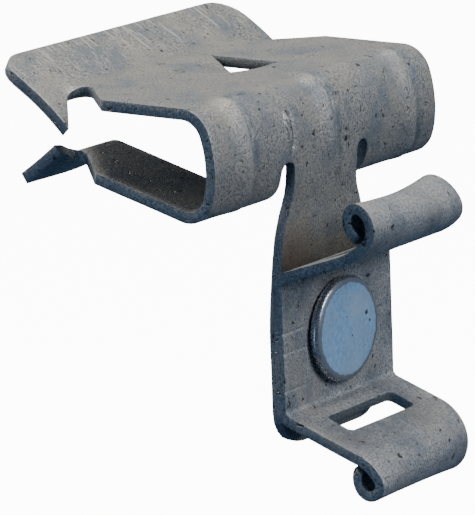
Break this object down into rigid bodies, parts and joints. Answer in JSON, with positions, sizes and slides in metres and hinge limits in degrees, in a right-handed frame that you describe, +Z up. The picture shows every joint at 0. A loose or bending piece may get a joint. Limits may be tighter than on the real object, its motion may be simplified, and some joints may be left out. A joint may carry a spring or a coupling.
{
  "type": "beam flange spring clip with swivel bracket",
  "caption": "Hammer-on spring steel clip for a beam flange, with toothed flared lips, a hanging tongue and a riveted swivel bracket with two arms ending in rolled eyes.",
  "frame": {"origin": "on the underside of the clip's upper leg, midway across its width, where the flange rests", "axes": "+X from the mouth to the back of the clip and on towards the bracket's eyes, +Y across the clip's width, +Z up"},
  "size_m": [0.0556, 0.0538, 0.0636],
  "materials": {
    "clip_steel": "matt grainy zinc coating",
    "bracket_steel": "matt grainy zinc coating",
    "rivet_zinc": "bright zinc, satin"
  },
  "bodies": {
    "clip": {"spring_clip": "clip_steel", "rivet": "rivet_zinc"},
    "bracket": {"swivel_bracket": "bracket_steel"}
  },
  "joints": [
    {"name": "bracket_swivel", "type": "hinge", "parent": "clip", "child": "bracket", "pos_m": [0.0095, 0, -0.0344], "axis": [1, 0, 0], "continuous": true}
  ]
}
